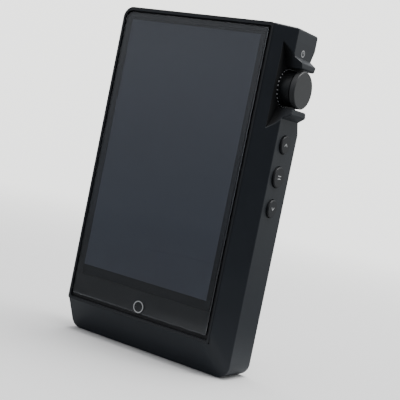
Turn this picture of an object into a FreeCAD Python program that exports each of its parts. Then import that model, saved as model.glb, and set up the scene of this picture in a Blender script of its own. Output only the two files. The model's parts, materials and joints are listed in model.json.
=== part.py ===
"""Pocket digital audio player, upright, screen facing -Y, millimetres.

The origin is the centre of the flat bottom.  +Z is up, +X is the side that
carries the volume knob and the three buttons.  Every driving dimension is a
cell of the sheet "Sizes"; sketches, pads and primitives are bound to it.
"""
import FreeCAD, Part
import math
import os
import re

import Sketcher

Vector = FreeCAD.Vector

SIZES = {
    # case
    "case_width": 70.0, "case_depth": 21.0, "case_height": 121.0,
    "bezel_proud": 0.3, "slope_width": 6.5, "slope_depth": 5.8, "chin_height": 11.1,
    "top_left_radius": 4.0, "top_right_radius": 0.8, "bottom_left_radius": 3.0,
    "bottom_right_radius": 4.5, "back_edge_radius": 1.3, "chin_blend_radius": 7.0,
    "crease_radius": 0.6,
    # hollow of the case
    "cavity_left": -30.2, "cavity_right": 28.8, "cavity_bottom": 8.0, "cavity_front": -6.5,
    "cover_left": -31.0, "cover_right": 30.6, "cover_bottom": 6.0, "cover_thickness": 1.4,
    "cover_split": 86.3, "cover_radius": 2.5, "seam": 0.06,
    "module_top": 118.0, "module_front": -6.0,
    # screen stack
    "bezel_right": 28.4, "bezel_depth": 1.2, "bezel_left_rim": 0.9, "bezel_right_rim": 0.6,
    "frame_bottom": 12.1, "frame_top": 119.8, "frame_depth": 1.0, "frame_recess": 0.9,
    "glass_left": -33.8, "glass_right": 26.8, "glass_bottom": 13.5, "glass_top": 119.3,
    "glass_thickness": 1.0, "glue_gap": 0.06, "glass_edge_radius": 0.6, "screen_corner": 0.8, "screen_top_left": 3.0,
    "panel_left": -31.0, "panel_right": 25.8, "panel_bottom": 21.6, "panel_top": 117.5,
    "panel_thickness": 1.0, "ribbon_z": 22.3, "ribbon_width": 10.0,
    "home_x": -2.7, "home_z": 15.9, "home_radius": 2.15, "mark_stroke": 0.35, "mark_depth": 0.15,
    # knob, its recess and its guards
    "knob_y": 1.4, "knob_z": 101.0, "knob_radius": 6.4, "knob_face": 38.0, "knob_floor": 31.5,
    "knob_rim": 1.8, "band_width": 0.5, "band_radius": 5.9, "sleeve_radius": 6.1,
    "well_radius": 6.75, "well_depth": 1.0, "knurl_width": 0.8, "knurl_gap": 0.45,
    "knurl_root": 6.2, "knurl_radius": 6.6, "knurl_teeth": 28,
    "guard_face": 37.7, "guard_inner": 6.8, "guard_crest": 8.9, "guard_foot": 10.6,
    "guard_length": 16.0, "guard_radius": 0.7, "guard_edge_radius": 0.3, "front_scallop_radius": 20.2,
    "front_scallop_reach": -22.7, "rear_scallop_radius": 32.2, "rear_scallop_reach": 37.15,
    "shaft_radius": 2.5, "bushing_radius": 3.45, "running_gap": 0.05, "bushing_top": 32.0,
    "encoder_left": 22.0, "encoder_size": 10.4,
    # side buttons
    "button_y": 1.4, "upper_z": 82.0, "middle_z": 70.8, "lower_z": 59.9,
    "upper_radius": 3.1, "middle_radius": 3.6, "lower_radius": 3.1,
    "button_proud": 0.8, "button_gap": 0.22, "button_seat": 31.8,
    "stem_radius": 1.5, "seal_radius": 2.6, "seal_depth": 1.5,
    "icon_y": 1.4, "icon_z": 113.3, "icon_radius": 1.2,
    # boards, battery and chips
    "main_left": -25.6, "main_right": 21.8, "main_bottom": 8.3, "main_top": 54.0,
    "main_front": 3.2, "board_thickness": 1.0,
    "audio_left": -25.6, "audio_right": 19.0, "audio_bottom": 46.0, "audio_top": 117.0,
    "audio_front": 5.0,
    "battery_left": -25.6, "battery_right": 21.6, "battery_bottom": 26.0, "battery_top": 92.0,
    "battery_front": -6.0, "battery_back": 1.4,
    # screws
    "boss_radius": 2.1, "boss_left": -27.9, "boss_right": 24.2, "shank_radius": 0.7,
    "head_radius": 1.25, "head_height": 0.6, "shank_length": 4.6,
    "boss_low": 11.0, "boss_mid": 50.0, "boss_high": 82.0, "boss_module": 93.0, "post_z": 22.5,
    # sockets
    "port_y": 1.6, "usb_x": 7.0, "usb_width": 8.94, "port_height": 3.16, "digital_x": 17.0,
    "digital_width": 8.0, "port_low": 0.4, "port_high": 9.4, "port_wall": 0.3,
    "tray_x": -14.5, "tray_width": 12.0, "tray_thickness": 1.2, "tray_length": 18.0,
    "lip_width": 14.2, "lip_height": 2.4, "lip_depth": 1.1,
    "jack_y": 1.0, "small_jack_radius": 1.8, "large_jack_radius": 2.25,
    "balanced_x": -20.0, "headphone_x": -5.0, "line_x": 8.0,
}

# each chip's left edge, lower edge, width, height and thickness; the first of a row
CHIPS = {
    "can_outside": ("-23", "26", "25", "18", "1.8"),
    "can_inside": ("-22.7", "26.3", "24.4", "17.4", "1.5"),
    "processor": ("-19", "28", "13", "13", "1.1"),
    "memory_chip": ("-4.5", "29", "5", "11", "0.9"),
    "power_chip": ("6", "30", "6", "6", "0.9"),
    "power_inductors": ("14.2", "28", "4", "4", "2"),
    "board_connector": ("-12", "47.5", "22", "5", "0.8"),
    "dac_chips": ("-14", "66", "7", "7", "1"),
    "amplifier_chips": ("-19", "79", "5", "4", "0.9"),
    "clock_crystals": ("-9", "56", "5", "3.2", "1.2"),
}
THROUGH = "2 * case_width"
SCREW_ROWS = ("boss_low", "boss_mid", "boss_high")
SCREW_COLUMNS = ("boss_left", "boss_right")
POST_COLUMNS = ("main_left + 3", "main_right - 3.3")
AUDIO_POSTS = ("audio_left + 3.6", "audio_right - 4")
BUTTONS = ("upper", "middle", "lower")
SCREEN_OPENING = ("-case_width / 2 + bezel_left_rim", "frame_bottom", "bezel_right - bezel_right_rim",
                  "frame_top")
SCREEN_CORNERS = ("screen_corner", "screen_corner", "screen_corner", "screen_top_left")

doc = FreeCAD.newDocument("audio_player")
sheet = doc.addObject("Spreadsheet::Sheet", "Sizes")
for row, (alias, size) in enumerate(SIZES.items(), start=1):
    sheet.set(f"A{row}", alias)
    sheet.set(f"B{row}", str(size))
    sheet.setAlias(f"B{row}", alias)
doc.recompute()

parts = []


# ---------------------------------------------------------------- expressions
def sized(expression):
    """Write each alias in an expression as a reference to the sheet."""
    def reference(match):
        word = match.group()
        return "Sizes." + word if word in SIZES else word
    return re.sub(r"[a-z_]+", reference, str(expression))


def number(expression):
    """The present value of an expression of aliases."""
    return float(sheet.evalExpression(sized(expression)))


def bind(feature, **expressions):
    for name, expression in expressions.items():
        feature.setExpression(name, sized(expression))


def place(feature, x="0", y="0", z="0"):
    for axis, expression in zip("xyz", (x, y, z)):
        feature.setExpression("Placement.Base." + axis, sized(expression))


def keep(feature, node):
    """Name a finished sub-part; its label is its file name."""
    feature.Label = node
    parts.append(feature)
    return feature


# ------------------------------------------------------------------- sketches
def sketch_on(body, plane, offset="0"):
    """A sketch on one of the body's origin planes, moved along its normal.

    XY_Plane looks along +Z, XZ_Plane along -Y (sketch x, y = X, Z) and
    YZ_Plane along +X (sketch x, y = Y, Z).
    """
    support = next(f for f in body.Origin.OriginFeatures if f.Role == plane)
    sketch = body.newObject("Sketcher::SketchObject", body.Name + "_sketch")
    sketch.AttachmentSupport = (support, "")
    sketch.MapMode = "FlatFace"
    sketch.setExpression("AttachmentOffset.Base.z", sized(offset))
    return sketch


def datum(sketch, kind, geometry, point, expression):
    """Hold one coordinate of a sketch point to an expression."""
    if abs(number(expression)) < 1e-9:
        axis = -2 if kind == "DistanceX" else -1
        sketch.addConstraint(Sketcher.Constraint("PointOnObject", geometry, point, axis))
        return
    index = sketch.addConstraint(
        Sketcher.Constraint(kind, -1, 1, geometry, point, number(expression)))
    name = f"{kind.lower()}_{index}"
    sketch.renameConstraint(index, name)
    sketch.setExpression("Constraints." + name, sized(expression))


def radius_datum(sketch, geometry, expression):
    index = sketch.addConstraint(Sketcher.Constraint("Radius", geometry, number(expression)))
    name = f"radius_{index}"
    sketch.renameConstraint(index, name)
    sketch.setExpression("Constraints." + name, sized(expression))


def polygon(sketch, corners):
    """A closed outline through (x, y) expressions."""
    points = [Vector(number(x), number(y), 0) for x, y in corners]
    first = sketch.GeometryCount
    count = len(points)
    for i in range(count):
        sketch.addGeometry(Part.LineSegment(points[i], points[(i + 1) % count]), False)
    for i in range(count):
        following = first + (i + 1) % count
        sketch.addConstraint(Sketcher.Constraint("Coincident", first + i, 2, following, 1))
    for i, (x, y) in enumerate(corners):
        datum(sketch, "DistanceX", first + i, 1, x)
        datum(sketch, "DistanceY", first + i, 1, y)


def rectangle(sketch, left, bottom, right, top):
    polygon(sketch, ((left, bottom), (right, bottom), (right, top), (left, top)))


def rounded(sketch, left, bottom, right, top, radii):
    """A rectangle with an arc at each corner, from the bottom left, anticlockwise."""
    low, high = Vector(number(left), number(bottom), 0), Vector(number(right), number(top), 0)
    size = [number(radius) for radius in radii]
    corners = (
        (Vector(low.x + size[0], low.y + size[0], 0), math.pi),
        (Vector(high.x - size[1], low.y + size[1], 0), 1.5 * math.pi),
        (Vector(high.x - size[2], high.y - size[2], 0), 0.0),
        (Vector(low.x + size[3], high.y - size[3], 0), 0.5 * math.pi))
    arcs = []
    for (centre, start), radius in zip(corners, size):
        circle = Part.Circle(centre, Vector(0, 0, 1), radius)
        arc = Part.ArcOfCircle(circle, start, start + math.pi / 2)
        arcs.append(sketch.addGeometry(arc, False))
    lines = []
    for i in range(4):
        end = sketch.getPoint(arcs[i], 2)
        start = sketch.getPoint(arcs[(i + 1) % 4], 1)
        lines.append(sketch.addGeometry(Part.LineSegment(end, start), False))
    for i in range(4):
        sketch.addConstraint(Sketcher.Constraint("Tangent", arcs[i], 2, lines[i], 1))
        sketch.addConstraint(Sketcher.Constraint("Tangent", lines[i], 2, arcs[(i + 1) % 4], 1))
        direction = "Horizontal" if i % 2 == 0 else "Vertical"
        sketch.addConstraint(Sketcher.Constraint(direction, lines[i]))
        radius_datum(sketch, arcs[i], radii[i])
    datum(sketch, "DistanceY", lines[0], 1, bottom)
    datum(sketch, "DistanceX", lines[1], 1, right)
    datum(sketch, "DistanceY", lines[2], 1, top)
    datum(sketch, "DistanceX", lines[3], 1, left)


def circle(sketch, x, y, radius):
    centre = Vector(number(x), number(y), 0)
    index = sketch.addGeometry(Part.Circle(centre, Vector(0, 0, 1), number(radius)), False)
    datum(sketch, "DistanceX", index, 3, x)
    datum(sketch, "DistanceY", index, 3, y)
    radius_datum(sketch, index, radius)


# ------------------------------------------------------------------- features
def new_body(name):
    return doc.addObject("PartDesign::Body", name)


def pad(body, sketch, length, midplane=False):
    feature = body.newObject("PartDesign::Pad", body.Name + "_pad")
    feature.Profile = sketch
    feature.Midplane = midplane
    bind(feature, Length=length)
    return feature


def pocket(body, sketch, length, towards_normal):
    """Cut from the sketch plane, along its normal or against it."""
    before = checked_volume(body)
    feature = body.newObject("PartDesign::Pocket", body.Name + "_pocket")
    feature.Profile = sketch
    feature.Reversed = towards_normal
    bind(feature, Length=length)
    if checked_volume(body) >= before - 1e-6:
        raise RuntimeError(feature.Name + " cuts nothing")
    return feature


def checked_volume(body):
    doc.recompute()
    return body.Shape.Volume


def revolve(body, sketch, axis):
    feature = body.newObject("PartDesign::Revolution", body.Name + "_turned")
    feature.Profile = sketch
    support = next(f for f in body.Origin.OriginFeatures if f.Role == axis)
    feature.ReferenceAxis = (support, [""])
    feature.Angle = 360
    return feature


def edges_where(feature, wanted):
    """The names of the feature's edges that a test of their end points picks."""
    doc.recompute()
    names = []
    for index, edge in enumerate(feature.Shape.Edges, start=1):
        if len(edge.Vertexes) == 2 and wanted(edge.Vertexes[0].Point, edge.Vertexes[1].Point):
            names.append(f"Edge{index}")
    return names


def fillet(body, feature, radius, wanted, kind="Fillet"):
    names = edges_where(feature, wanted)
    if not names:
        raise RuntimeError(body.Name + " has no such edge to round")
    rounding = body.newObject("PartDesign::" + kind, body.Name + "_" + kind.lower())
    rounding.Base = (feature, names)
    size = {"Radius" if kind == "Fillet" else "Size": radius}
    bind(rounding, **size)
    doc.recompute()
    return rounding


def near(value, expression, tolerance=0.02):
    return abs(value - number(expression)) < tolerance


# ----------------------------------------------------------------- primitives
def box(name, low, high):
    """A box between two corners given as expressions."""
    feature = doc.addObject("Part::Box", name)
    lengths = [f"({top}) - ({bottom})" for bottom, top in zip(low, high)]
    bind(feature, Length=lengths[0], Width=lengths[1], Height=lengths[2])
    place(feature, *low)
    return feature


def cylinder(name, axis, start, length, radius):
    """A cylinder from a start point along +X, +Y or +Z."""
    feature = doc.addObject("Part::Cylinder", name)
    turn = {"x": (Vector(0, 1, 0), 90), "y": (Vector(1, 0, 0), -90), "z": (Vector(0, 0, 1), 0)}
    feature.Placement = FreeCAD.Placement(Vector(), FreeCAD.Rotation(*turn[axis]))
    bind(feature, Height=length, Radius=radius)
    place(feature, *start)
    return feature


def fuse(name, pieces):
    feature = doc.addObject("Part::MultiFuse", name)
    feature.Shapes = list(pieces)
    return feature


def group(name, pieces):
    """Separate solids that share one node."""
    feature = doc.addObject("Part::Compound", name)
    feature.Links = list(pieces)
    return feature


def cut(name, base, tools):
    feature = doc.addObject("Part::Cut", name)
    feature.Base = base
    feature.Tool = tools[0] if len(tools) == 1 else fuse(name + "_tools", tools)
    return feature


# ------------------------------------------------------------------ the case
def case_outside(body):
    """The outer block: rounded outline, right slope, chin and soft back edges."""
    outline = sketch_on(body, "XZ_Plane", "-case_depth / 2")
    rounded(outline, "-case_width / 2", "0", "case_width / 2", "case_height",
            ("bottom_left_radius", "bottom_right_radius", "top_right_radius", "top_left_radius"))
    pad(body, outline, "case_depth - bezel_proud")

    front, side = "-case_depth / 2 + bezel_proud", "case_width / 2"
    slope = sketch_on(body, "XY_Plane")
    polygon(slope, ((f"{side} - slope_width", front), (f"{side} - slope_width", f"{front} - 5"),
                    (f"{side} + 5", f"{front} - 5"), (f"{side} + 5", f"{front} + slope_depth"),
                    (side, f"{front} + slope_depth")))
    pocket(body, slope, THROUGH, True)

    chin = sketch_on(body, "YZ_Plane", "-case_width")
    polygon(chin, ((front, "chin_height"), (f"{front} - 5", "chin_height"), (f"{front} - 5", "-5"),
                   (f"{front} + slope_depth", "-5"), (f"{front} + slope_depth", "0")))
    chin_cut = pocket(body, chin, THROUGH, True)

    def blend(a, b):
        """The crease where the chin plane meets the slope plane."""
        low, high = sorted((a, b), key=lambda p: p.z)
        return near(high.z, "chin_height") and low.z < 3 and high.x > 28 and low.x > 30
    soft = fillet(body, chin_cut, "chin_blend_radius", blend)

    def back(a, b):
        """All edges of the back face."""
        return near(a.y, "case_depth / 2") and near(b.y, "case_depth / 2")
    soft = fillet(body, soft, "back_edge_radius", back)
    chin_foot = f"{front} + slope_depth"

    def crease(a, b):
        """The edge between slope and side, and on round the foot of the chin."""
        at_foot = all(near(p.y, chin_foot, 0.3) for p in (a, b))
        return at_foot and (max(a.z, b.z) < 3 or abs(a.z - b.z) > 50)
    return fillet(body, soft, "crease_radius", crease)


def knob_recess(body):
    """Guards above and below the knob, and the scallops milled either side."""
    guards = sketch_on(body, "XZ_Plane", "-knob_y")
    for sign in ("+", "-"):
        level = "knob_z " + sign
        polygon(guards, (("knob_floor", f"{level} guard_inner"), ("guard_face", f"{level} guard_inner"),
                         ("guard_face", f"{level} guard_crest"), ("case_width / 2", f"{level} guard_foot"),
                         ("knob_floor", f"{level} guard_foot")))
    raised = pad(body, guards, "guard_length", midplane=True)

    def lips(a, b):
        """The guards' long outer edges."""
        return near(a.x, "guard_face") and near(b.x, "guard_face") and near(a.z, b.z)
    fillet(body, raised, "guard_radius", lips)

    for side in ("front", "rear"):
        scallop = sketch_on(body, "YZ_Plane", "knob_floor")
        circle(scallop, f"knob_y + {side}_scallop_reach", "knob_z", f"{side}_scallop_radius")
        pocket(body, scallop, THROUGH, True)
    slot = sketch_on(body, "YZ_Plane", "knob_floor")
    rectangle(slot, "-case_depth", "knob_z - guard_inner", "case_depth", "knob_z + guard_inner")
    soft = pocket(body, slot, THROUGH, True)

    for side in ("front", "rear"):
        centre_y, centre_z = number(f"knob_y + {side}_scallop_reach"), number("knob_z")
        radius = number(f"{side}_scallop_radius")

        def scallop_edges(a, b):
            """The edges of one scallop, but for the one along the floor."""
            on_arc = all(abs(math.hypot(p.y - centre_y, p.z - centre_z) - radius) < 0.03 for p in (a, b))
            return on_arc and max(a.x, b.x) > number("knob_floor") + 0.1
        soft = fillet(body, soft, "guard_edge_radius", scallop_edges)

    well = sketch_on(body, "YZ_Plane", "knob_floor - well_depth")
    circle(well, "knob_y", "knob_z", "well_radius")
    pocket(body, well, "well_depth", True)
    shaft = sketch_on(body, "YZ_Plane", "cavity_right - 1")
    circle(shaft, "knob_y", "knob_z", "bushing_radius + running_gap")
    pocket(body, shaft, "knob_floor - cavity_right + 2", True)


def screen_seat(body):
    """The rebate for the bezel, the seat of the screen frame and the ribbon slot."""
    rebate = sketch_on(body, "XZ_Plane", "case_depth / 2 - bezel_depth")
    rectangle(rebate, "-case_width", "chin_height", "bezel_right", "case_height + 5")
    pocket(body, rebate, THROUGH, True)
    seat = sketch_on(body, "XZ_Plane", "case_depth / 2 - bezel_depth - frame_depth")
    rounded(seat, *SCREEN_OPENING, SCREEN_CORNERS)
    pocket(body, seat, THROUGH, True)
    slot = sketch_on(body, "XZ_Plane", "-cavity_front - 1")
    rectangle(slot, "home_x - ribbon_width / 2 - 1", "ribbon_z - 0.7",
              "home_x + ribbon_width / 2 + 1", "ribbon_z + 0.9")
    pocket(body, slot, THROUGH, True)


def hollow(body):
    """The cavity for the electronics, open at the back and at the top."""
    cavity = sketch_on(body, "XZ_Plane", "-cavity_front")
    rounded(cavity, "cavity_left", "cavity_bottom", "cavity_right", "module_top + 1", ("1.5",) * 4)
    pocket(body, cavity, THROUGH, False)
    rear = sketch_on(body, "XZ_Plane", "-case_depth / 2 + cover_thickness")
    rounded(rear, "cover_left", "cover_bottom", "cover_right", "case_height + 10",
            ("cover_radius",) * 4)
    pocket(body, rear, THROUGH, False)
    top = sketch_on(body, "XY_Plane", "module_top")
    rectangle(top, "cover_left", "module_front", "cover_right", "case_depth")
    pocket(body, top, THROUGH, True)


def bosses(body):
    """Screw bosses for the rear cover and the audio module, and the board's two posts."""
    top = "case_depth / 2 - cover_thickness"
    columns = sketch_on(body, "XZ_Plane", f"-({top})")
    holes = [(x, z) for x in SCREW_COLUMNS for z in SCREW_ROWS + ("boss_module",)]
    for x, z in holes:
        circle(columns, x, z, "boss_radius")
    pad(body, columns, f"{top} - cavity_front + 0.5")
    drilled = sketch_on(body, "XZ_Plane", f"-({top})")
    for x, z in holes:
        circle(drilled, x, z, "shank_radius + 0.02")
    pocket(body, drilled, "shank_length + 0.4", True)
    posts = sketch_on(body, "XZ_Plane", "-main_front")
    for x in POST_COLUMNS:
        circle(posts, x, "post_z", "1.7")
    pad(body, posts, "main_front - cavity_front + 0.5")
    tapped = sketch_on(body, "XZ_Plane", "-main_front")
    for x in POST_COLUMNS:
        circle(tapped, x, "post_z", "shank_radius + 0.02")
    pocket(body, tapped, "shank_length - board_thickness + 0.4", True)


def side_holes(body):
    """Stepped holes of the three buttons and the groove of the power mark."""
    for name in BUTTONS:
        mouth = sketch_on(body, "YZ_Plane", "button_seat")
        circle(mouth, "button_y", f"{name}_z", f"{name}_radius + button_gap")
        pocket(body, mouth, THROUGH, True)
        stem = sketch_on(body, "YZ_Plane", "cavity_right - 1")
        circle(stem, "button_y", f"{name}_z", "stem_radius + 0.1")
        pocket(body, stem, THROUGH, True)
        seal = sketch_on(body, "YZ_Plane", "cavity_right - 1")
        circle(seal, "button_y", f"{name}_z", "seal_radius")
        pocket(body, seal, "seal_depth + 1", True)
    mark = sketch_on(body, "YZ_Plane", "case_width / 2 - mark_depth")
    power_mark(mark)
    pocket(body, mark, THROUGH, True)


def bottom_holes(body):
    """The sockets' mouths and the card tray's slot in the bottom wall."""
    mouths = sketch_on(body, "XY_Plane")
    for name in ("usb", "digital"):
        reach, half = f"({name}_width / 2 + 0.1)", "(port_height / 2 + 0.1)"
        rounded(mouths, f"{name}_x - {reach}", f"port_y - {half}",
                f"{name}_x + {reach}", f"port_y + {half}", (f"{half} * 0.95",) * 4)
    reach, half = "(tray_width / 2 + 0.15)", "(tray_thickness / 2 + 0.15)"
    rectangle(mouths, f"tray_x - {reach}", f"port_y - {half}", f"tray_x + {reach}", f"port_y + {half}")
    pocket(body, mouths, "cavity_bottom + 1", True)
    lip = sketch_on(body, "XY_Plane")
    reach, half = "(lip_width / 2 + 0.12)", "(lip_height / 2 + 0.12)"
    rounded(lip, f"tray_x - {reach}", f"port_y - {half}", f"tray_x + {reach}", f"port_y + {half}",
            ("lip_height / 2",) * 4)
    pocket(body, lip, "lip_depth + 0.1", True)


def main_housing():
    body = new_body("main_housing")
    case_outside(body)
    knob_recess(body)
    screen_seat(body)
    hollow(body)
    bosses(body)
    side_holes(body)
    bottom_holes(body)
    keep(body, "main_housing")


# ---------------------------------------------------------------- the screen
def front_bezel():
    """The thin metal rim round the glass."""
    body = new_body("front_bezel")
    ring = sketch_on(body, "XZ_Plane", "case_depth / 2 - bezel_depth")
    rounded(ring, "-case_width / 2", "chin_height", "bezel_right", "case_height",
            ("screen_corner", "screen_corner", "screen_corner", "top_left_radius"))
    rounded(ring, *SCREEN_OPENING, SCREEN_CORNERS)
    pad(body, ring, "bezel_depth")
    keep(body, "front_bezel")


def display_frame():
    """The black plastic frame that carries the glass and centres the panel."""
    body = new_body("display_frame")
    left, bottom, right, top = SCREEN_OPENING
    outline = sketch_on(body, "XZ_Plane", "case_depth / 2 - bezel_depth - frame_depth")
    rounded(outline, f"{left} + 0.03", f"{bottom} + 0.03", f"{right} - 0.03", f"{top} - 0.03",
            SCREEN_CORNERS)
    pad(body, outline, "frame_depth + bezel_depth - frame_recess")
    glass = sketch_on(body, "XZ_Plane", "case_depth / 2 - glass_thickness")
    rounded(glass, "glass_left - 0.03", "glass_bottom - 0.03", "glass_right + 0.03",
            "glass_top + 0.03", SCREEN_CORNERS)
    pocket(body, glass, THROUGH, True)
    panel = sketch_on(body, "XZ_Plane")
    rectangle(panel, "panel_left - 0.1", "panel_bottom - 0.1", "panel_right + 0.1", "panel_top + 0.1")
    pocket(body, panel, THROUGH, True)
    keep(body, "display_frame")


def home_mark(sketch):
    circle(sketch, "home_x", "home_z", "home_radius")
    circle(sketch, "home_x", "home_z", "home_radius - mark_stroke")


def display_glass():
    """The cover glass with its rounded front edge and the home mark's groove."""
    body = new_body("display_glass")
    sheet_of_glass = sketch_on(body, "XZ_Plane", "case_depth / 2 - glass_thickness + glue_gap")
    rounded(sheet_of_glass, "glass_left", "glass_bottom", "glass_right", "glass_top", SCREEN_CORNERS)
    slab = pad(body, sheet_of_glass, "glass_thickness - glue_gap")

    def front(a, b):
        return near(a.y, "-case_depth / 2") and near(b.y, "-case_depth / 2")
    fillet(body, slab, "glass_edge_radius", front)
    groove = sketch_on(body, "XZ_Plane", "case_depth / 2 - mark_depth")
    home_mark(groove)
    pocket(body, groove, THROUGH, True)
    keep(body, "display_glass")


def home_ring():
    body = new_body("home_ring")
    ring = sketch_on(body, "XZ_Plane", "case_depth / 2 - mark_depth")
    home_mark(ring)
    pad(body, ring, "mark_depth")
    keep(body, "home_ring")


def display_panel():
    back = "-case_depth / 2 + glass_thickness + panel_thickness"
    front = "-case_depth / 2 + glass_thickness"
    keep(box("panel", ("panel_left", front, "panel_bottom"), ("panel_right", back, "panel_top")),
         "display_panel")
    ribbon = box("ribbon", ("home_x - ribbon_width / 2", back, "ribbon_z"),
                 ("home_x + ribbon_width / 2", "main_front - 1.2", "ribbon_z + 0.2"))
    plug = box("ribbon_plug", ("home_x - ribbon_width / 2", "main_front - 1.2", "ribbon_z - 0.6"),
               ("home_x + ribbon_width / 2", "main_front", "ribbon_z + 0.9"))
    keep(fuse("ribbon_and_plug", (ribbon, plug)), "display_ribbon")


# ----------------------------------------------------------------- the covers
def screw_holes(body, columns, rows):
    """A clearance hole and a head recess at each screw of a cover."""
    through = sketch_on(body, "XZ_Plane")
    heads = sketch_on(body, "XZ_Plane", "-case_depth / 2 + head_height")
    for x in columns:
        for z in rows:
            circle(through, x, z, "shank_radius + 0.05")
            circle(heads, x, z, "head_radius + 0.05")
    pocket(body, through, THROUGH, False)
    pocket(body, heads, THROUGH, False)


def rear_cover():
    body = new_body("rear_cover")
    plate = sketch_on(body, "XZ_Plane", "-case_depth / 2")
    rounded(plate, "cover_left + seam", "cover_bottom + seam", "cover_right - seam",
            "cover_split - seam", ("cover_radius", "cover_radius", "0.4", "0.4"))
    pad(body, plate, "cover_thickness")
    screw_holes(body, SCREW_COLUMNS, SCREW_ROWS)
    inlay = sketch_on(body, "XZ_Plane", "-case_depth / 2 + cover_thickness / 2")
    rounded(inlay, "boss_left + 4", "boss_low + 4", "boss_right - 3.6", "boss_high - 3", ("3",) * 4)
    pocket(body, inlay, THROUGH, False)
    keep(body, "rear_cover")


def rear_glass():
    """The glass inlay of the rear cover."""
    body = new_body("rear_glass")
    inlay = sketch_on(body, "XZ_Plane", "-case_depth / 2")
    rounded(inlay, "boss_left + 4 + seam", "boss_low + 4 + seam", "boss_right - 3.6 - seam",
            "boss_high - 3 - seam", ("3 - seam",) * 4)
    pad(body, inlay, "cover_thickness / 2")
    keep(body, "rear_glass")


def module_shell():
    """The exchangeable audio module's cap: back plate, top plate and two posts."""
    body = new_body("module_shell")
    plate = sketch_on(body, "XZ_Plane", "-case_depth / 2")
    rectangle(plate, "cover_left + seam", "cover_split + seam", "cover_right - seam", "case_height")
    pad(body, plate, "cover_thickness")
    lid = sketch_on(body, "XY_Plane", "module_top")
    rectangle(lid, "cover_left + seam", "module_front + seam", "cover_right - seam", "case_depth / 2")
    angle = pad(body, lid, "case_height - module_top")

    def shoulder(a, b):
        return all(near(p.y, "case_depth / 2") and near(p.z, "case_height") for p in (a, b))
    fillet(body, angle, "back_edge_radius", shoulder)
    holes = sketch_on(body, "XY_Plane")
    circle(holes, "balanced_x", "jack_y", "large_jack_radius + 2.1")
    for x in ("headphone_x", "line_x"):
        circle(holes, x, "jack_y", "small_jack_radius + 1.75")
    pocket(body, holes, THROUGH, True)
    screw_holes(body, SCREW_COLUMNS, ("boss_module",))
    back = "case_depth / 2 - cover_thickness"
    posts = sketch_on(body, "XZ_Plane", f"-({back}) - 0.2")
    for x in AUDIO_POSTS:
        circle(posts, x, "boss_module - 2", "1.6")
        circle(posts, x, "boss_module - 2", "shank_radius + 0.02")
    pad(body, posts, f"{back} + 0.2 - audio_front - board_thickness")
    keep(body, "module_shell")


def screw(name, x, z, seat, outward):
    """One small screw along Y, head against seat, with a hexagonal socket."""
    head_start = seat if outward else f"{seat} - head_height"
    head = cylinder(name + "_head", "y", (x, head_start, z), "head_height", "head_radius")
    shank_start = f"{seat} - shank_length" if outward else seat
    shank = cylinder(name + "_shank", "y", (x, shank_start, z), "shank_length", "shank_radius")
    socket = doc.addObject("Part::Prism", name + "_socket")
    socket.Polygon = 6
    socket.Placement = FreeCAD.Placement(Vector(), FreeCAD.Rotation(Vector(1, 0, 0), -90))
    bind(socket, Circumradius="head_radius / 2", Height="head_height * 2 / 3")
    place(socket, x, f"{seat} + head_height / 3" if outward else head_start, z)
    return cut(name, fuse(name + "_solid", (head, shank)), (socket,))


def screws():
    cover_seat = "case_depth / 2 - head_height"
    covers = [screw(f"cover_screw_{x}_{z}", x, z, cover_seat, True)
              for x in SCREW_COLUMNS for z in SCREW_ROWS]
    keep(group("cover_screw_set", covers), "rear_cover_screws")
    module = [screw(f"module_screw_{x}", x, "boss_module", cover_seat, True) for x in SCREW_COLUMNS]
    keep(group("module_screw_set", module), "module_screws")
    main_seat = "main_front + board_thickness"
    main = [screw(f"board_screw_{i}", x, "post_z", main_seat, True)
            for i, x in enumerate(POST_COLUMNS)]
    keep(group("board_screw_set", main), "main_board_screws")
    audio = [cylinder(f"audio_screw_{i}", "y", (x, "audio_front - head_height", "boss_module - 2"),
                      "head_height", "head_radius") for i, x in enumerate(AUDIO_POSTS)]
    shanks = [cylinder(f"audio_shank_{i}", "y", (x, "audio_front", "boss_module - 2"),
                       "3.2", "shank_radius") for i, x in enumerate(AUDIO_POSTS)]
    pairs = [fuse(f"audio_screw_pair_{i}", pair) for i, pair in enumerate(zip(audio, shanks))]
    keep(group("audio_screw_set", pairs), "audio_board_screws")


# ------------------------------------------------------------------- the knob
def turned(name, outline):
    """A piece turned about the knob's axis, from (x, radius) corners."""
    body = new_body(name)
    section = sketch_on(body, "XY_Plane")
    polygon(section, outline)
    revolve(body, section, "X_Axis")
    place(body, "0", "knob_y", "knob_z")
    return body


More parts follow.
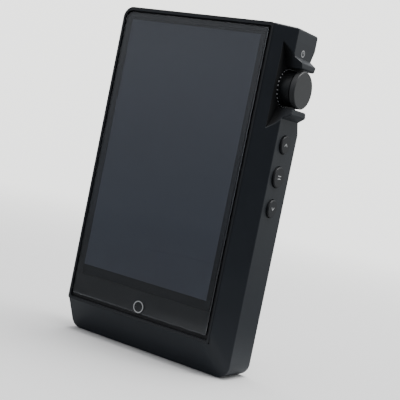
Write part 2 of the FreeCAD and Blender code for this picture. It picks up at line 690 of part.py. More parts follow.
def knob():
    bore = "shaft_radius + 0.02"
    rim_back = "knob_face - knob_rim"
    band_back = f"{rim_back} - band_width"
    knurl_back = "knob_floor - well_depth + knurl_gap"
    knurl_front = f"{knurl_back} + knurl_width"
    hollow_radius, hollow_top = "4.6", "32.6"
    cap = turned("knob_cap", ((rim_back, bore), ("knob_face - 1", bore), ("knob_face - 1", "0"),
                              ("knob_face", "0"), ("knob_face", "knob_radius - 0.25"),
                              ("knob_face - 0.25", "knob_radius"), (rim_back, "knob_radius")))
    keep(cap, "knob_cap")
    band = turned("knob_band", ((band_back, bore), (rim_back, bore), (rim_back, "knob_radius - 0.1"),
                                (band_back, "band_radius")))
    keep(band, "knob_band")
    sleeve = turned("knob_sleeve", ((hollow_top, bore), (band_back, bore),
                                    (band_back, "sleeve_radius"), (knurl_front, "sleeve_radius"),
                                    (knurl_front, hollow_radius), (hollow_top, hollow_radius)))
    keep(sleeve, "knob_sleeve")

    ring = turned("knurled_ring", ((knurl_back, hollow_radius), (knurl_front, hollow_radius),
                                   (knurl_front, "knurl_root"), (knurl_back, "knurl_root")))
    tooth = sketch_on(ring, "YZ_Plane", knurl_back)
    polygon(tooth, (("-0.45", "knurl_root - 0.2"), ("0.45", "knurl_root - 0.2"),
                    ("0.2", "knurl_radius"), ("-0.2", "knurl_radius")))
    raised = pad(ring, tooth, "knurl_width")
    pattern = ring.newObject("PartDesign::PolarPattern", "knurled_ring_teeth")
    pattern.Originals = [raised]
    support = next(f for f in ring.Origin.OriginFeatures if f.Role == "X_Axis")
    pattern.Axis = (support, [""])
    pattern.Angle = 360
    bind(pattern, Occurrences="knurl_teeth")
    ring.Tip = pattern
    keep(ring, "knurled_ring")


def encoder():
    """The rotary switch behind the knob; its plunger gives way when the knob is pressed."""
    axis = ("knob_y", "knob_z")
    half = "encoder_size / 2"
    left, right = "encoder_left", "cavity_right - 0.05"
    plunger_x = "encoder_left + 1.3"
    shaft_x = f"{plunger_x} + 1.55"
    keep(cylinder("shaft", "x", (shaft_x, *axis), f"knob_face - 1 - ({shaft_x})", "shaft_radius"),
         "encoder_shaft")
    keep(cylinder("plunger", "x", (plunger_x, *axis), "1.5", "shaft_radius + 0.9"),
         "encoder_plunger")
    case = box("encoder_block", (left, f"knob_y - {half}", f"knob_z - {half}"),
               (right, f"knob_y + {half}", f"knob_z + {half}"))
    well = cylinder("encoder_well", "x", ("encoder_left + 0.6", *axis), "2.4", "shaft_radius + 1")
    bore = cylinder("encoder_bore", "x", ("encoder_left + 2", *axis), "8", "shaft_radius + running_gap")
    keep(cut("encoder_case", case, (well, bore)), "encoder_body")
    collar = cylinder("collar", "x", (right, *axis), f"bushing_top - ({right})", "bushing_radius")
    collar_bore = cylinder("collar_bore", "x", (f"{right} - 1", *axis), "8", "shaft_radius + running_gap")
    keep(cut("encoder_collar", collar, (collar_bore,)), "encoder_bushing")
    seat = "knob_floor - well_depth"
    nut = doc.addObject("Part::Prism", "nut_blank")
    nut.Polygon = 6
    nut.Placement = FreeCAD.Placement(Vector(), FreeCAD.Rotation(Vector(0, 1, 0), 90))
    bind(nut, Circumradius="4.3", Height=f"bushing_top - ({seat}) - 0.1")
    place(nut, seat, *axis)
    thread = cylinder("nut_thread", "x", (f"{seat} - 1", *axis), "8", "bushing_radius + 0.02")
    keep(cut("nut", nut, (thread,)), "encoder_nut")


# ---------------------------------------------------------------- the buttons
def chevron(sketch, sign):
    """An arrow head, up or down, about the button's centre."""
    corners = ((-1.0, -0.35), (0.0, 0.65), (1.0, -0.35), (0.75, -0.6), (0.0, 0.15), (-0.75, -0.6))
    polygon(sketch, [(str(y), str(sign * z)) for y, z in corners])


def pause_bars(sketch):
    for level in (0.3, -0.65):
        rectangle(sketch, "-1", str(level), "1", str(level + 0.35))


ICONS = {
    "upper": ("skip_up", lambda sketch: chevron(sketch, 1)),
    "middle": ("pause", pause_bars),
    "lower": ("skip_down", lambda sketch: chevron(sketch, -1)),
}


def buttons():
    face = "case_width / 2 + button_proud"
    for name in BUTTONS:
        label, draw = ICONS[name]
        radius = f"{name}_radius"
        cap = new_body(f"{label}_button")
        section = sketch_on(cap, "XY_Plane")
        polygon(section, (("cavity_right - 0.1", "0"), (face, "0"), (face, f"{radius} - 0.3"),
                          (f"{face} - 0.3", radius), ("button_seat + 0.5", radius),
                          ("button_seat + 0.5", "stem_radius"), ("cavity_right - 0.1", "stem_radius")))
        revolve(cap, section, "X_Axis")
        groove = sketch_on(cap, "YZ_Plane", f"{face} - mark_depth")
        draw(groove)
        pocket(cap, groove, THROUGH, True)
        place(cap, "0", "button_y", f"{name}_z")
        keep(cap, f"{label}_button")
        icon = new_body(f"{label}_icon")
        mark = sketch_on(icon, "YZ_Plane", f"{face} - mark_depth")
        draw(mark)
        pad(icon, mark, "mark_depth")
        place(icon, "0", "button_y", f"{name}_z")
        keep(icon, f"{label}_icon")


def button_works():
    """The stem seals, the switches behind the stems and their small board."""
    seals, switches = [], []
    for name in BUTTONS:
        start = ("cavity_right", "button_y", f"{name}_z")
        outer = cylinder(f"{name}_seal_outer", "x", start, "seal_depth", "seal_radius - 0.03")
        inner = cylinder(f"{name}_seal_hole", "x", start, "seal_depth", "stem_radius + running_gap")
        seals.append(cut(f"{name}_seal", outer, (inner,)))
        switches.append(box(f"{name}_switch",
                            ("cavity_right - 1.6", "button_y - 2", f"{name}_z - 2"),
                            ("cavity_right - 0.6", "button_y + 2", f"{name}_z + 2")))
    keep(group("seal_set", seals), "button_seals")
    keep(group("switch_set", switches), "button_switches")
    keep(box("switch_board", ("cavity_right - 2.2", "button_y - 3.8", "lower_z - 4.4"),
             ("cavity_right - 1.6", "button_y + 3.8", "upper_z + 4.4")), "button_board")


def power_icon():
    """The inlaid power mark above the knob."""
    body = new_body("power_icon")
    ring = sketch_on(body, "YZ_Plane", "case_width / 2 - mark_depth")
    power_mark(ring)
    pad(body, ring, "mark_depth")
    keep(body, "power_icon")


def power_mark(sketch):
    circle(sketch, "icon_y", "icon_z", "icon_radius")
    circle(sketch, "icon_y", "icon_z", "icon_radius - mark_stroke")
    rectangle(sketch, "icon_y - mark_stroke / 2", "icon_z - 0.1", "icon_y + mark_stroke / 2",
              "icon_z + icon_radius / 2")


# ------------------------------------------------------------ boards and power
def on_board(name, back_of, left, low, width, height, thickness):
    """A block soldered to the back of a board."""
    front = f"{back_of} + board_thickness"
    return box(name, (left, front, low), (f"{left} + {width}", f"{front} + {thickness}",
                                          f"{low} + {height}"))


def chip(label, back_of):
    return on_board(label + "_block", back_of, *CHIPS[label])


def main_board():
    slab = box("main_slab", ("main_left", "main_front", "main_bottom"),
               ("main_right", "main_front + board_thickness", "main_top"))
    holes = [cylinder(f"main_hole_{i}", "y", (x, "main_front - 1", "post_z"), "3", "shank_radius + 0.1")
             for i, x in enumerate(POST_COLUMNS)]
    keep(cut("main_drilled", slab, holes), "main_board")
    keep(cut("can", chip("can_outside", "main_front"), (chip("can_inside", "main_front"),)),
         "shield_can")
    for label in ("processor", "memory_chip", "power_chip", "board_connector"):
        keep(chip(label, "main_front"), label)
    left, low, *extent = CHIPS["power_inductors"]
    coils = [on_board(f"coil_{i}", "main_front", left, f"{low} + {6 * i}", *extent) for i in range(3)]
    keep(group("coils", coils), "power_inductors")


def audio_board():
    slab = box("audio_slab", ("audio_left", "audio_front", "audio_bottom"),
               ("audio_right", "audio_front + board_thickness", "audio_top"))
    holes = [cylinder(f"audio_hole_{i}", "y", (x, "audio_front - 1", "boss_module - 2"), "3",
                      "shank_radius + 0.1") for i, x in enumerate(AUDIO_POSTS)]
    keep(cut("audio_drilled", slab, holes), "audio_board")
    for label, count, pitch in (("dac_chips", 2, 16), ("amplifier_chips", 4, 9),
                                ("clock_crystals", 2, 9)):
        left, *rest = CHIPS[label]
        row_of_chips = [on_board(f"{label}_{i}", "audio_front", f"{left} + {pitch * i}", *rest)
                        for i in range(count)]
        keep(group(label + "_row", row_of_chips), label)
    cans = [cylinder(f"capacitor_{i}", "y", (f"-19 + {10 * i}", "battery_back + 0.3", "72"),
                     "audio_front - battery_back - 0.3", "2.4") for i in range(4)]
    keep(group("capacitors", cans), "audio_capacitors")


def battery():
    keep(box("cell", ("battery_left", "battery_front", "battery_bottom"),
             ("battery_right", "battery_back", "battery_top")), "battery")
    keep(box("pad", ("battery_left + 5", "cavity_front + 0.05", "battery_bottom + 6"),
             ("battery_right - 5", "battery_front - 0.05", "battery_top - 6")), "battery_pad")
    back = "case_depth / 2 - cover_thickness"
    keep(box("antenna", ("-18", f"{back} - 0.25", "60"), ("-2", f"{back} - 0.05", "76")),
         "wifi_antenna")


# ----------------------------------------------------------------- the sockets
def port(label, width, x):
    """A flat socket in the bottom wall: a thin shell, closed at its inner end."""
    body = new_body(label)
    outside = sketch_on(body, "XY_Plane", "port_low")
    rounded(outside, f"{x} - {width} / 2", "port_y - port_height / 2", f"{x} + {width} / 2",
            "port_y + port_height / 2", ("port_height * 0.48",) * 4)
    pad(body, outside, "port_high - port_low")
    inside = sketch_on(body, "XY_Plane", "port_high - 0.8")
    rounded(inside, f"{x} - {width} / 2 + port_wall", "port_y - port_height / 2 + port_wall",
            f"{x} + {width} / 2 - port_wall", "port_y + port_height / 2 - port_wall",
            ("port_height * 0.48 - port_wall",) * 4)
    pocket(body, inside, THROUGH, False)
    keep(body, label)
    return box(label + "_tongue", (f"{x} - {width} * 0.375", "port_y - 0.35", "port_low + 1"),
               (f"{x} + {width} * 0.375", "port_y + 0.35", "port_high - 0.8"))


def bottom_ports():
    tongues = [port("usb_port", "usb_width", "usb_x"),
               port("digital_port", "digital_width", "digital_x")]
    keep(group("tongue_pair", tongues), "port_tongues")


def card_tray():
    """The memory card's tray, flush in the bottom, and the socket that it slides into."""
    lip_low = "0.05"
    half, thin = "tray_width / 2", "tray_thickness / 2"
    body = new_body("card_tray")
    lip = sketch_on(body, "XY_Plane", lip_low)
    rounded(lip, "tray_x - lip_width / 2", "port_y - lip_height / 2", "tray_x + lip_width / 2",
            "port_y + lip_height / 2", ("lip_height * 0.48",) * 4)
    circle(lip, "tray_x + lip_width / 2 - 1.1", "port_y", "0.4")
    pad(body, lip, "lip_depth")
    blade = sketch_on(body, "XY_Plane", "lip_depth")
    rectangle(blade, f"tray_x - {half}", f"port_y - {thin}", f"tray_x + {half}", f"port_y + {thin}")
    pad(body, blade, "tray_length - lip_depth")
    nest = sketch_on(body, "XZ_Plane", f"-port_y - {thin} + 0.8")
    rectangle(nest, f"tray_x - {half} + 0.5", "lip_depth + 1", f"tray_x + {half} - 0.5",
              "tray_length - 0.8")
    pocket(body, nest, THROUGH, False)
    keep(body, "card_tray")

    shell = box("socket_shell", ("tray_x - 7.5", "port_y - 1", "cavity_bottom + 0.1"),
                ("tray_x + 7.5", "main_front", "tray_length + 1.6"))
    slot = box("socket_slot", (f"tray_x - {half} - 0.2", f"port_y - {thin} - 0.2", "0"),
               (f"tray_x + {half} + 0.2", f"port_y + {thin} + 0.2", "tray_length + 1.2"))
    keep(cut("socket", shell, (slot,)), "card_socket")


def jack(label, x, radius, half_width, tip):
    """A round socket along Z, blind at its tip, and the trim ring in the top plate."""
    shell = box(label + "_shell", (f"{x} - {half_width}", f"jack_y - {half_width}", tip),
                (f"{x} + {half_width}", "audio_front - 0.05", "module_top - 0.05"))
    bore = cylinder(label + "_bore", "z", (x, "jack_y", f"{tip} + 1.5"), "30", radius)
    keep(cut(label + "_socket", shell, (bore,)), label + "_jack")
    rim = "2.07" if radius == "large_jack_radius" else "1.72"
    start = (x, "jack_y", "module_top")
    ring = cylinder(label + "_rim", "z", start, "case_height - module_top", f"{radius} + {rim}")
    hole = cylinder(label + "_hole", "z", (x, "jack_y", "module_top - 1"), "8", f"{radius} + 0.05")
    keep(cut(label + "_trim", ring, (hole,)), label + "_ring")


def jacks():
    jack("balanced", "balanced_x", "large_jack_radius", "4.2", "99.5")
    jack("headphone", "headphone_x", "small_jack_radius", "3.2", "103")
    jack("line", "line_x", "small_jack_radius", "3.2", "103")


# --------------------------------------------------------------------- output
def check_and_export():
    """Stop at any failed feature or bad solid, then write one file per sub-part."""
    doc.recompute()
    failed = [o.Name for o in doc.Objects if {"Invalid", "Error"} & set(o.State)]
    failed += [p.Label for p in parts if p.Shape.isNull() or not p.Shape.isValid()]
    if failed:
        raise RuntimeError("failed: " + ", ".join(failed))
    os.makedirs("parts", exist_ok=True)
    for part in parts:
        part.Shape.exportStep(f"parts/{part.Label}.step")
        print(f"{part.Label:22s} {part.Shape.Volume:10.2f} mm3, {len(part.Shape.Solids)} solids")
    print(len(parts), "sub-parts")


main_housing()
front_bezel()
display_frame()
display_glass()
home_ring()
display_panel()
rear_cover()
rear_glass()
module_shell()
screws()
knob()
encoder()
buttons()
button_works()
power_icon()
main_board()
audio_board()
battery()
bottom_ports()
card_tray()
jacks()
check_and_export()
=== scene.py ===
"""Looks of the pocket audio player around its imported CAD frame: materials, studio, camera."""
import json
import math

import bpy
from mathutils import Matrix, Vector


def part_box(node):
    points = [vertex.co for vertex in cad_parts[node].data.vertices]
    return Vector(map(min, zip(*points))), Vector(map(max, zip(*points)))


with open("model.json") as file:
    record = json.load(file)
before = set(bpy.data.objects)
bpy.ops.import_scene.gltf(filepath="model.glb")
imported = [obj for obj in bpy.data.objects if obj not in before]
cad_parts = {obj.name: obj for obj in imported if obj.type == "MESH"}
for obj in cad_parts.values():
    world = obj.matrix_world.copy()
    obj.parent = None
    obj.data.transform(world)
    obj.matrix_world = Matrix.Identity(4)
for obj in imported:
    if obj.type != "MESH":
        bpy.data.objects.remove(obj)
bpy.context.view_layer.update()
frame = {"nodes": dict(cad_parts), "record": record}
NODES = frame["nodes"]
MM = 0.001

# the knob: its middle, and how far its knurled ring's teeth stand from its axis
KNOB_MIDDLE = sum(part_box("knob_cap"), Vector()) / 2
TOOTH_TIP = 6.6 * MM

# the case beside the knob, as in the CAD: its flat side, its front and the slope between them
CASE_SIDE = 35.0 * MM
CASE_FRONT = -10.2 * MM
SLOPE_WIDTH = 6.5 * MM
SLOPE_DEPTH = 5.8 * MM
SLOPE_LENGTH = math.hypot(SLOPE_WIDTH, SLOPE_DEPTH)
SLOPE_NORMAL = (SLOPE_DEPTH / SLOPE_LENGTH, -SLOPE_WIDTH / SLOPE_LENGTH)
SLOPE_REACH = SLOPE_NORMAL[0] * (CASE_SIDE - SLOPE_WIDTH) + SLOPE_NORMAL[1] * CASE_FRONT

# where the painted shade that darkens the knob's recess starts and where it is full: under the
# slope, under the right side, above and below the knob, and before the rear; the left has no such
# bound
SLOPE_FADE = (SLOPE_REACH - 0.05 * MM, SLOPE_REACH - 0.4 * MM)
SIDE_FADE = (CASE_SIDE + 0.5 * MM, CASE_SIDE - 2.5 * MM)
ENDS_FADE = (16.0 * MM, 15.5 * MM)
REAR_FADE = (9.8 * MM, 9.0 * MM)
# how dark the painted shade makes the recess, and how much rougher the recess is
RECESS_SHADE_TINT = 0.12
RECESS_ROUGHER = 0.35

# the picture area of the panel, and the width over which its edge is soft on each side
PICTURE_X = (-30.9 * MM, 24.0 * MM)
PICTURE_Z = (25.0 * MM, 116.6 * MM)
PICTURE_EDGE = 0.05 * MM
MARGIN_TINT = 0.06
CELL_PITCH = 0.07 * MM
CELL_SHARE = 0.1


def tint(colour, factor):
    """The colour made darker or lighter."""
    return tuple(min(1.0, c * factor) for c in colour)


# ------------------------------------------------------------- node helpers
class Graph:
    """A small builder for one node tree."""

    def __init__(self, tree):
        self.tree = tree
        tree.nodes.clear()

    def add(self, kind, settings=None, **inputs):
        """A node with attributes from settings and sockets, by name, from inputs."""
        node = self.tree.nodes.new(kind)
        for name, value in (settings or {}).items():
            setattr(node, name, value)
        for name, value in inputs.items():
            self.set(node.inputs[name.replace("_", " ")], value)
        return node

    def set(self, socket, value):
        """Links the socket to another one, or gives it a constant."""
        if isinstance(value, bpy.types.NodeSocket):
            self.tree.links.new(value, socket)
        else:
            socket.default_value = value

    def maths(self, operation, a, b=0.0):
        """One sum on one or two numbers."""
        node = self.add("ShaderNodeMath", {"operation": operation})
        self.set(node.inputs[0], a)
        self.set(node.inputs[1], b)
        return node.outputs[0]

    def product(self, first, *others):
        """All these factors multiplied."""
        for factor in others:
            first = self.maths("MULTIPLY", first, factor)
        return first

    def weighed(self, a, b, share):
        """A share of b, and the rest of a."""
        return self.maths("ADD", self.product(a, 1 - share), self.product(b, share))

    def between(self, factor, low, high):
        """low where factor is 0, high where it is 1, held at both ends."""
        node = self.add("ShaderNodeMapRange", Value=factor, To_Min=low, To_Max=high)
        return node.outputs["Result"]

    def span(self, value, start, end, low=0.0, high=1.0):
        """A smooth step from low at start to high at end."""
        node = self.add("ShaderNodeMapRange", {"interpolation_type": "SMOOTHSTEP"}, Value=value,
                        From_Min=start, From_Max=end, To_Min=low, To_Max=high)
        return node.outputs["Result"]

    def colour_mix(self, factor, a, b):
        """Colour a where factor is 0 and colour b where it is 1."""
        node = self.add("ShaderNodeMix", {"data_type": "RGBA"})
        self.set(node.inputs[0], factor)
        self.set(node.inputs[6], (*a, 1.0) if isinstance(a, tuple) else a)
        self.set(node.inputs[7], (*b, 1.0) if isinstance(b, tuple) else b)
        return node.outputs[2]

    def shaded(self, colour, factor, darkest, lightest):
        """The colour times darkest where factor is 0 and times lightest where it is 1."""
        return self.colour_mix(factor, tint(colour, darkest), tint(colour, lightest))

    def place(self):
        """The point on the object, in metres."""
        return self.add("ShaderNodeTexCoord").outputs["Object"]

    def stretched(self, scale):
        """The point on the object, scaled along each axis."""
        return self.add("ShaderNodeMapping", Vector=self.place(), Scale=scale).outputs[0]

    def split(self, vector):
        """The X, Y and Z of a vector."""
        return self.add("ShaderNodeSeparateXYZ", Vector=vector).outputs

    def about_knob(self):
        """The point on the object, seen from the knob's middle, split into X, Y and Z."""
        shifted = self.add("ShaderNodeVectorMath", {"operation": "SUBTRACT"})
        self.set(shifted.inputs[0], self.place())
        self.set(shifted.inputs[1], KNOB_MIDDLE)
        return self.split(shifted.outputs[0])

    def off_axis(self, y, z):
        """How far a point is from the knob's axis."""
        return self.maths("SQRT", self.maths("ADD", self.product(y, y), self.product(z, z)))

    def noise(self, size, detail=2.0, vector=None):
        """Noise from 0 to 1 whose blobs are about size metres across."""
        return self.add("ShaderNodeTexNoise", Vector=vector or self.place(), Scale=1.0 / size,
                        Detail=detail).outputs["Fac"]

    def bump(self, height, depth):
        """A bump whose height of 1 stands depth metres proud."""
        return self.add("ShaderNodeBump", Height=height, Distance=depth).outputs[0]

    def surface(self, **sockets):
        """A Principled shader with these sockets, as the material's surface."""
        shader = self.add("ShaderNodeBsdfPrincipled", **sockets)
        self.add("ShaderNodeOutputMaterial", Surface=shader.outputs[0])

    def mixed_surface(self, factor, first, second):
        """Shader first where factor is 0 and second where it is 1, as the material's surface."""
        mix = self.add("ShaderNodeMixShader")
        for socket, value in zip(mix.inputs, (factor, first.outputs[0], second.outputs[0])):
            self.set(socket, value)
        self.add("ShaderNodeOutputMaterial", Surface=mix.outputs[0])


def new_material(name):
    """An empty material and the builder of its nodes."""
    material = bpy.data.materials.new(name)
    material.use_nodes = True
    return material, Graph(material.node_tree)


# ------------------------------------------------------------------ materials
def recess_shade_mask(g):
    """The mask of the painted shade in the knob's recess: 1 deep in it, fading to 0 at the slope,
    the right side, its ends and the rear.

    Nothing bounds it on the left, so the case's left side is at 1 too, level with the recess.
    """
    x, y, z = g.split(g.place())
    across = g.maths("ADD", g.product(x, SLOPE_NORMAL[0]), g.product(y, SLOPE_NORMAL[1]))
    off_knob = g.maths("ABSOLUTE", g.maths("SUBTRACT", z, KNOB_MIDDLE.z))
    return g.product(g.span(across, *SLOPE_FADE), g.span(x, *SIDE_FADE),
                     g.span(off_knob, *ENDS_FADE), g.span(y, *REAR_FADE))


def blasted_metal(name, colour, roughness, grain=0.16 * MM, shade_recess=False):
    """Anodised metal blasted with fine sand: tiny pits, faint clouds and finger marks, and, if
    asked, painted shade that darkens the knob's recess.
    """
    material, g = new_material(name)
    pits = g.noise(grain, detail=3.0)
    clouds = g.noise(9 * MM, detail=3.0)
    marks = g.noise(3.1 * MM)
    base = g.shaded(colour, g.weighed(clouds, pits, 0.4), 0.82, 1.18)
    rough = g.maths("ADD", g.between(clouds, roughness - 0.05, roughness + 0.05),
                    g.between(marks, -0.03, 0.03))
    # painted shade: the knob's recess is darkened nearly to black and made rougher, standing in for
    # the shade that falls there
    if shade_recess:
        painted_shade = recess_shade_mask(g)
        base = g.colour_mix(painted_shade, base, tint(colour, RECESS_SHADE_TINT))
        rough = g.maths("ADD", rough, g.product(painted_shade, RECESS_ROUGHER))
    g.surface(Base_Color=base, Roughness=rough, Normal=g.bump(pits, 0.010 * MM))
    return material


def turned_metal(name, colour, roughness):
    """Anodised metal turned on a lathe about the knob's axis: fine rings and a soft cloud."""
    material, g = new_material(name)
    x, y, z = g.about_knob()
    profile = g.add("ShaderNodeCombineXYZ", X=g.off_axis(y, z), Y=x)
    rings = g.noise(0.12 * MM, detail=3.0, vector=profile.outputs[0])
    clouds = g.noise(4 * MM)
    g.surface(Base_Color=g.shaded(colour, g.weighed(rings, clouds, 0.5), 0.8, 1.2),
              Roughness=g.between(rings, roughness - 0.06, roughness + 0.08),
              Metallic=0.2, Normal=g.bump(rings, 0.004 * MM))
    return material


def polished_metal(name, colour, roughness):
    """Bright cut metal with hairline scratches."""
    material, g = new_material(name)
    hair = g.noise(0.08 * MM, vector=g.stretched((1.0, 0.12, 0.12)))
    g.surface(Base_Color=g.shaded(colour, g.noise(1.7 * MM), 0.85, 1.12),
              Roughness=g.between(hair, roughness - 0.04, roughness + 0.10),
              Metallic=1.0, Normal=g.bump(hair, 0.002 * MM))
    return material


def knurled_metal(name, colour, glint_colour):
    """A dark ring whose teeth carry a painted highlight at their crests: a pale base colour, broken
    up by noise, standing in for glints of light.
    """
    material, g = new_material(name)
    _along, y, z = g.about_knob()
    crest = g.span(g.off_axis(y, z), TOOTH_TIP - 0.2 * MM, TOOTH_TIP - 0.05 * MM)
    glint_breakup = g.span(g.noise(0.3 * MM), 0.2, 0.5, low=0.6, high=1.0)
    # painted highlight: the crests turn pale where the noise allows, in place of the glints of
    # light on the teeth
    painted_glint = g.product(crest, glint_breakup)
    g.surface(Base_Color=g.colour_mix(painted_glint, colour, glint_colour), Metallic=0.2,
              Roughness=g.between(painted_glint, 0.5, 0.3))
    return material


def moulded_plastic(name, colour, roughness):
    """Moulded plastic with a spark-eroded texture."""
    material, g = new_material(name)
    pits = g.noise(0.25 * MM, detail=4.0)
    g.surface(Base_Color=g.shaded(colour, g.noise(5 * MM), 0.85, 1.15),
              Roughness=g.between(pits, roughness - 0.08, roughness + 0.08),
              Normal=g.bump(pits, 0.006 * MM))
    return material


def paint_fill(name, colour):
    """Paint laid in an engraved mark: a little uneven, matt."""
    material, g = new_material(name)
    grain = g.noise(0.12 * MM, detail=3.0)
    g.surface(Base_Color=g.shaded(colour, grain, 0.8, 1.1), Roughness=g.between(grain, 0.4, 0.6),
              Normal=g.bump(grain, 0.004 * MM))
    return material


def cover_glass(name, colour, shadow_colour):
    """Clear smooth glass; lamps shine straight through it."""
    material, g = new_material(name)
    glass = g.add("ShaderNodeBsdfPrincipled", Base_Color=(*colour, 1.0), Roughness=0.0, IOR=1.5,
                  Transmission_Weight=1.0)
    clear = g.add("ShaderNodeBsdfTransparent", Color=(*shadow_colour, 1.0))
    path = g.add("ShaderNodeLightPath")
    g.mixed_surface(path.outputs["Is Shadow Ray"], glass, clear)
    return material


def unlit_screen(name, colour):
    """A switched-off panel: a bluish grey picture area with faint cells, inside a black margin."""
    material, g = new_material(name)
    across, _depth, up = g.split(g.place())
    inside = g.product(*(g.span(way, edge - soft, edge + soft)
                         for way, edges in ((across, PICTURE_X), (up, PICTURE_Z))
                         for edge, soft in zip(edges, (PICTURE_EDGE, -PICTURE_EDGE))))
    cells = g.product(*(g.maths("SINE", g.product(way, 2 * math.pi / CELL_PITCH))
                        for way in (across, up)))
    clouds = g.noise(30 * MM)
    shade = g.maths("ADD", g.product(cells, CELL_SHARE), clouds)
    lit = g.shaded(colour, shade, 0.92, 1.08)
    g.surface(Base_Color=g.colour_mix(inside, tint(colour, MARGIN_TINT), lit),
              Roughness=g.between(clouds, 0.42, 0.5), Specular_IOR_Level=0.2)
    return material


def black_inlay(name, colour):
    """Glass backed with black: very smooth, with soft smears."""
    material, g = new_material(name)
    smears = g.noise(16 * MM, detail=3.0)
    g.surface(Base_Color=g.shaded(colour, smears, 0.8, 1.2),
              Roughness=g.span(smears, 0.4, 0.75, low=0.04, high=0.12),
              Coat_Weight=0.5, Coat_Roughness=0.03)
    return material


def brushed_steel(name, colour, roughness):
    """Plain steel with a fine grain along Z."""
    material, g = new_material(name)
    lines = g.noise(0.1 * MM, vector=g.stretched((1.0, 1.0, 0.08)))
    g.surface(Base_Color=g.shaded(colour, lines, 0.85, 1.1),
              Roughness=g.between(lines, roughness - 0.06, roughness + 0.06),
              Metallic=1.0, Normal=g.bump(lines, 0.002 * MM))
    return material


def solder_mask(name, colour):
    """A printed board: green lacquer over faint copper tracks."""
    material, g = new_material(name)
    tracks = g.add("ShaderNodeTexBrick", Vector=g.place(), Scale=1 / (9 * MM), Mortar_Size=0.03,
                   Color1=(*tint(colour, 0.9), 1.0), Color2=(*colour, 1.0),
                   Mortar=(*tint(colour, 1.8), 1.0))
    grain = g.noise(0.3 * MM)
    g.surface(Base_Color=tracks.outputs["Color"], Roughness=g.between(grain, 0.3, 0.45),
              Normal=g.bump(grain, 0.003 * MM))
    return material


def soft_rubber(name, colour):
    """Matt moulded rubber."""
    material, g = new_material(name)
    grain = g.noise(0.4 * MM, detail=3.0)
    g.surface(Base_Color=g.shaded(colour, grain, 0.85, 1.15),
              Roughness=g.between(grain, 0.75, 0.9), Normal=g.bump(grain, 0.01 * MM))
    return material


CASE_COLOUR = (0.019, 0.023, 0.029)

# each material's name, its kind, and what its kind needs
LOOKS = {
    "case_metal": (blasted_metal, dict(colour=CASE_COLOUR, roughness=0.40)),
    # the housing's metal, with painted shade darkening the knob's recess
    "housing_metal": (blasted_metal, dict(colour=CASE_COLOUR, roughness=0.40, shade_recess=True)),
    "bezel_metal": (blasted_metal, dict(colour=(0.014, 0.016, 0.019), roughness=0.34,
                                        grain=0.12 * MM)),
    "frame_plastic": (moulded_plastic, dict(colour=(0.003, 0.003, 0.004), roughness=0.6)),
    "cover_glass": (cover_glass, dict(colour=(0.93, 0.95, 0.97), shadow_colour=(0.9, 0.92, 0.94))),
    "mark_white": (paint_fill, dict(colour=(0.60, 0.61, 0.61))),
    "screen_dark": (unlit_screen, dict(colour=(0.092, 0.100, 0.126))),
    "rear_glass": (black_inlay, dict(colour=(0.010, 0.011, 0.013))),
    "knob_metal": (turned_metal, dict(colour=(0.062, 0.063, 0.064), roughness=0.38)),
    "polished_metal": (polished_metal, dict(colour=(0.50, 0.51, 0.53), roughness=0.22)),
    "button_metal": (turned_metal, dict(colour=(0.024, 0.025, 0.028), roughness=0.4)),
    "steel": (brushed_steel, dict(colour=(0.42, 0.42, 0.43), roughness=0.35)),
    "black_plastic": (moulded_plastic, dict(colour=(0.016, 0.016, 0.018), roughness=0.55)),
    "tray_metal": (blasted_metal, dict(colour=(0.030, 0.033, 0.037), roughness=0.42)),
    "board": (solder_mask, dict(colour=(0.008, 0.035, 0.018))),
    "ribbon": (moulded_plastic, dict(colour=(0.32, 0.15, 0.03), roughness=0.4)),
    "parts_metal": (brushed_steel, dict(colour=(0.40, 0.40, 0.41), roughness=0.4)),
    "battery_wrap": (moulded_plastic, dict(colour=(0.28, 0.28, 0.29), roughness=0.45)),
    "soft_rubber": (soft_rubber, dict(colour=(0.020, 0.020, 0.021))),
    # a dark ring with painted highlights on its tooth crests
    "knurl": (knurled_metal, dict(colour=(0.012, 0.013, 0.015), glint_colour=(0.85, 0.85, 0.86))),
    "blackened_steel": (brushed_steel, dict(colour=(0.055, 0.056, 0.060), roughness=0.4)),
    "dark_band": (turned_metal, dict(colour=(0.012, 0.013, 0.014), roughness=0.3)),
}

# nodes that look different from the rest of their material slot
OWN_LOOK = {
    # the housing carries the painted shade in the knob's recess
    "main_housing": "housing_metal",
    "knurled_ring": "knurl",
    "knob_band": "dark_band",
    "knob_sleeve": "dark_band",
    "rear_cover_screws": "blackened_steel",
    "module_screws": "blackened_steel",
}


def dress_nodes():
    """Gives every CAD node its own look, or else that of its material slot."""
    materials = {name: make(name, **values) for name, (make, values) in LOOKS.items()}
    for piece in frame["record"]["subparts"]:
        mesh = NODES[piece["node"]].data
        mesh.materials.clear()
        mesh.materials.append(materials[OWN_LOOK.get(piece["node"], piece["material_slot"])])


# --------------------------------------------------------------------- studio
FLOOR_RADIUS = 0.75
FLOOR_SIDES = 96
FLOOR_DROP = 0.0002

# the floor fades into the backdrop from here on
FLOOR_CLEAR = 0.08

# the floor as the camera sees it, and as its bounced light comes from it near and far
FLOOR_SEEN = (0.97, 0.97, 0.96)
FLOOR_NEAR = (0.44, 0.45, 0.46)
FLOOR_FAR = (0.12, 0.125, 0.13)
BOUNCE_FADE = (0.045, 0.11)


def floor():
    """A pale round floor that fades into the backdrop; it throws little light at the object."""
    mesh = bpy.data.meshes.new("floor")
    turns = [2 * math.pi * i / FLOOR_SIDES for i in range(FLOOR_SIDES)]
    ring = [(FLOOR_RADIUS * math.cos(turn), FLOOR_RADIUS * math.sin(turn), -FLOOR_DROP)
            for turn in turns]
    mesh.from_pydata(ring, [], [list(range(FLOOR_SIDES))])
    plane = bpy.data.objects.new("floor", mesh)
    bpy.context.scene.collection.objects.link(plane)
    mesh.materials.append(floor_paper())


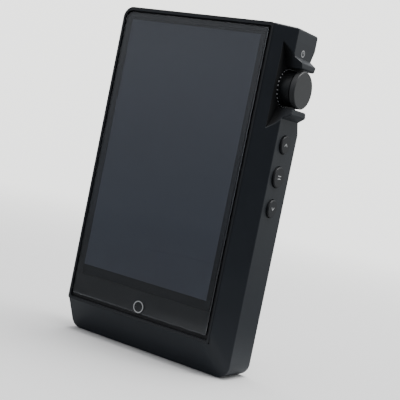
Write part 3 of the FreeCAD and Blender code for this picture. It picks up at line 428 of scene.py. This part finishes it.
def floor_paper():
    """Pale paper round the object, clear further out."""
    material, g = new_material("floor_paper")
    length = g.add("ShaderNodeVectorMath", {"operation": "LENGTH"})
    g.set(length.inputs[0], g.place())
    distance = length.outputs["Value"]
    seen = g.shaded(FLOOR_SEEN, g.noise(0.8 * MM, detail=3.0), 0.98, 1.02)
    bounce = g.colour_mix(g.span(distance, *BOUNCE_FADE), FLOOR_NEAR, FLOOR_FAR)
    path = g.add("ShaderNodeLightPath")
    paper = g.add("ShaderNodeBsdfPrincipled", Roughness=0.8, Specular_IOR_Level=0.1,
                  Base_Color=g.colour_mix(path.outputs["Is Camera Ray"], bounce, seen))
    clear = g.add("ShaderNodeBsdfTransparent")
    g.mixed_surface(g.span(distance, FLOOR_CLEAR, FLOOR_RADIUS), paper, clear)
    return material


# the backdrop as the camera sees it
BACKDROP_TOP = (2.6, 2.6, 2.55)
BACKDROP_LOW = (2.3, 2.32, 2.28)
BACKDROP_FADE = (-0.25, 0.2)

# the room that lights the object, and the directions over which its parts run into each other
ROOM_BACK = (0.50, 0.52, 0.53)
ROOM_FRONT_RIGHT = (0.07, 0.08, 0.095)
ROOM_LEFT_LOW = (0.26, 0.28, 0.32)
ROOM_LEFT_HIGH = (0.54, 0.56, 0.60)
ROOM_OVERHEAD = (1.0, 1.0, 1.02)
LEFT_RISE = (-0.1, 0.18)
LEFT_TO_RIGHT = (-0.5, 0.2)
FRONT_TO_BACK = (-0.5, 0.75)
OVERHEAD_RISE = (0.2, 1.0)


def room():
    """A pale backdrop for the eye; for the light, a room that is dim in front on the right."""
    world = bpy.data.worlds.new("studio")
    bpy.context.scene.world = world
    world.use_nodes = True
    g = Graph(world.node_tree)
    x, y, z = g.split(g.add("ShaderNodeTexCoord").outputs["Generated"])
    seen = g.colour_mix(g.span(z, *BACKDROP_FADE), BACKDROP_LOW, BACKDROP_TOP)
    left = g.colour_mix(g.span(z, *LEFT_RISE), ROOM_LEFT_LOW, ROOM_LEFT_HIGH)
    front = g.colour_mix(g.span(x, *LEFT_TO_RIGHT), left, ROOM_FRONT_RIGHT)
    walls = g.colour_mix(g.span(y, *FRONT_TO_BACK), front, ROOM_BACK)
    lit = g.colour_mix(g.span(z, *OVERHEAD_RISE), walls, ROOM_OVERHEAD)
    path = g.add("ShaderNodeLightPath")
    colour = g.colour_mix(path.outputs["Is Camera Ray"], lit, seen)
    background = g.add("ShaderNodeBackground", Color=colour)
    g.add("ShaderNodeOutputWorld", Surface=background.outputs[0])


LAMP_AIM = Vector((0.0, 0.0, 0.06))


def softbox(name, place, size, power):
    """A large square lamp aimed at the object, which the camera doesn't see."""
    light = bpy.data.lights.new(name, "AREA")
    light.shape = "SQUARE"
    light.size = size
    light.energy = power
    lamp = bpy.data.objects.new(name, light)
    lamp.location = place
    lamp.rotation_euler = (Vector(place) - LAMP_AIM).to_track_quat("Z", "Y").to_euler()
    lamp.visible_camera = False
    bpy.context.scene.collection.objects.link(lamp)


# --------------------------------------------------------------------- camera
AZIMUTH = math.radians(32.86)
ELEVATION = math.radians(2.89)
ROLL = math.radians(11.56)
DISTANCE = 0.3473
TARGET = Vector((0.0, 0.0109, 0.0566))
LENS = 84.57
NEAREST = 0.01


def camera():
    """The photograph's view: nearly level, from the knob's side, rolled."""
    lens = bpy.data.cameras.new("camera")
    lens.lens = LENS
    lens.clip_start = NEAREST
    eye = bpy.data.objects.new("camera", lens)
    turn = (Matrix.Rotation(AZIMUTH, 4, "Z") @ Matrix.Rotation(math.pi / 2 - ELEVATION, 4, "X")
            @ Matrix.Rotation(ROLL, 4, "Z"))
    back = turn.to_3x3() @ Vector((0, 0, 1))
    eye.matrix_world = Matrix.Translation(TARGET + DISTANCE * back) @ turn
    bpy.context.scene.collection.objects.link(eye)
    bpy.context.scene.camera = eye


dress_nodes()
floor()
room()
softbox("overhead_box", place=(0.1, 0.15, 0.9), size=0.7, power=9.5)
softbox("side_box", place=(0.9, 0.5, 0.5), size=0.6, power=1.5)
camera()
